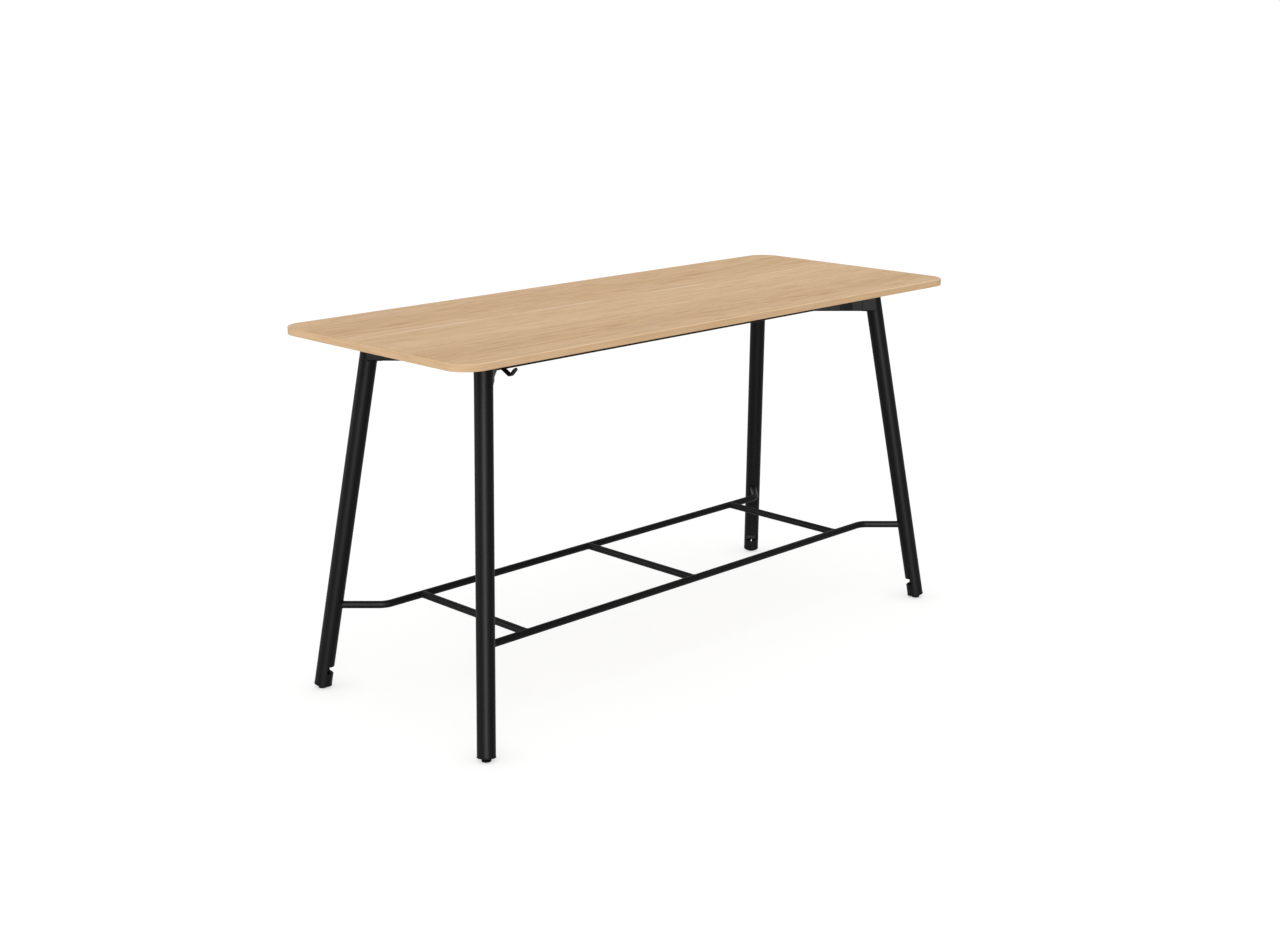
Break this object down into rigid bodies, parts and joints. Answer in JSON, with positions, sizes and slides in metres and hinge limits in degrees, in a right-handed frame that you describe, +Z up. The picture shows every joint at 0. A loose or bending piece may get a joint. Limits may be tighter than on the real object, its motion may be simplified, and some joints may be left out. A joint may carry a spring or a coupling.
{
  "type": "standing meeting table",
  "caption": "Standing-height meeting table: a rounded oak board on a black steel frame with splayed round legs, a bent-tube foot rest, levelling glides and a bag hook.",
  "frame": {"origin": "on the floor, under the middle of the board", "axes": "+X along the board, -Y the front, +Z up"},
  "size_m": [2, 0.793, 1.062],
  "materials": {
    "oak_board": "oak veneer under a matt clear lacquer, grain along the length",
    "black_coat": "satin black powder coat on steel",
    "black_plastic": "moulded black plastic, fine matt texture",
    "zinc_steel": "bright zinc plating on steel"
  },
  "bodies": {
    "table": {"table_top": "oak_board", "front_rail": "black_coat", "footrest_bar_front": "black_coat", "fixing_lug_front_left": "black_coat", "fixing_lug_front_middle": "black_coat", "fixing_lug_front_right": "black_coat", "rear_rail": "black_coat", "footrest_bar_rear": "black_coat", "fixing_lug_rear_left": "black_coat", "fixing_lug_rear_middle": "black_coat", "fixing_lug_rear_right": "black_coat", "cross_tube_left": "black_coat", "cross_tube_right": "black_coat", "footrest_cross_left": "black_coat", "footrest_cross_middle": "black_coat", "footrest_cross_right": "black_coat", "bag_hook": "black_coat", "arm_front_left": "black_coat", "coupler_front_left": "black_plastic", "leg_stub_front_left": "black_coat", "leg_head_front_left": "black_coat", "leg_front_left": "black_coat", "foot_insert_front_left": "black_plastic", "arm_front_right": "black_coat", "coupler_front_right": "black_plastic", "leg_stub_front_right": "black_coat", "leg_head_front_right": "black_coat", "leg_front_right": "black_coat", "foot_insert_front_right": "black_plastic", "arm_rear_left": "black_coat", "coupler_rear_left": "black_plastic", "leg_stub_rear_left": "black_coat", "leg_head_rear_left": "black_coat", "leg_rear_left": "black_coat", "foot_insert_rear_left": "black_plastic", "arm_rear_right": "black_coat", "coupler_rear_right": "black_plastic", "leg_stub_rear_right": "black_coat", "leg_head_rear_right": "black_coat", "leg_rear_right": "black_coat", "foot_insert_rear_right": "black_plastic"},
    "glide_pad_front_left": {"glide_pad_front_left": "black_plastic"},
    "glide_stud_front_left": {"glide_stud_front_left": "zinc_steel"},
    "glide_pad_front_right": {"glide_pad_front_right": "black_plastic"},
    "glide_stud_front_right": {"glide_stud_front_right": "zinc_steel"},
    "glide_pad_rear_left": {"glide_pad_rear_left": "black_plastic"},
    "glide_stud_rear_left": {"glide_stud_rear_left": "zinc_steel"},
    "glide_pad_rear_right": {"glide_pad_rear_right": "black_plastic"},
    "glide_stud_rear_right": {"glide_stud_rear_right": "zinc_steel"}
  },
  "joints": [
    {"name": "glide_level_front_left", "type": "slide", "parent": "table", "child": "glide_pad_front_left", "axis": [-0.1228, -0.1228, -0.9848], "range_m": [0, 0.01]},
    {"name": "glide_turn_front_left", "type": "hinge", "parent": "glide_pad_front_left", "child": "glide_stud_front_left", "pos_m": [-0.93134, -0.36484, 0.0046], "axis": [-0.1228, -0.1228, -0.9848], "range_deg": [0, 2880]},
    {"name": "glide_level_front_right", "type": "slide", "parent": "table", "child": "glide_pad_front_right", "axis": [0.1228, -0.1228, -0.9848], "range_m": [0, 0.01]},
    {"name": "glide_turn_front_right", "type": "hinge", "parent": "glide_pad_front_right", "child": "glide_stud_front_right", "pos_m": [0.93134, -0.36484, 0.0046], "axis": [0.1228, -0.1228, -0.9848], "range_deg": [0, 2880]},
    {"name": "glide_level_rear_left", "type": "slide", "parent": "table", "child": "glide_pad_rear_left", "axis": [-0.1228, 0.1228, -0.9848], "range_m": [0, 0.01]},
    {"name": "glide_turn_rear_left", "type": "hinge", "parent": "glide_pad_rear_left", "child": "glide_stud_rear_left", "pos_m": [-0.93134, 0.36484, 0.0046], "axis": [-0.1228, 0.1228, -0.9848], "range_deg": [0, 2880]},
    {"name": "glide_level_rear_right", "type": "slide", "parent": "table", "child": "glide_pad_rear_right", "axis": [0.1228, 0.1228, -0.9848], "range_m": [0, 0.01]},
    {"name": "glide_turn_rear_right", "type": "hinge", "parent": "glide_pad_rear_right", "child": "glide_stud_rear_right", "pos_m": [0.93134, 0.36484, 0.0046], "axis": [0.1228, 0.1228, -0.9848], "range_deg": [0, 2880]}
  ],
  "couplings": [
    {"joint": "glide_level_front_left", "follows": "glide_turn_front_left", "m_per_rad": 0.00019894},
    {"joint": "glide_level_front_right", "follows": "glide_turn_front_right", "m_per_rad": 0.00019894},
    {"joint": "glide_level_rear_left", "follows": "glide_turn_rear_left", "m_per_rad": 0.00019894},
    {"joint": "glide_level_rear_right", "follows": "glide_turn_rear_right", "m_per_rad": 0.00019894}
  ]
}
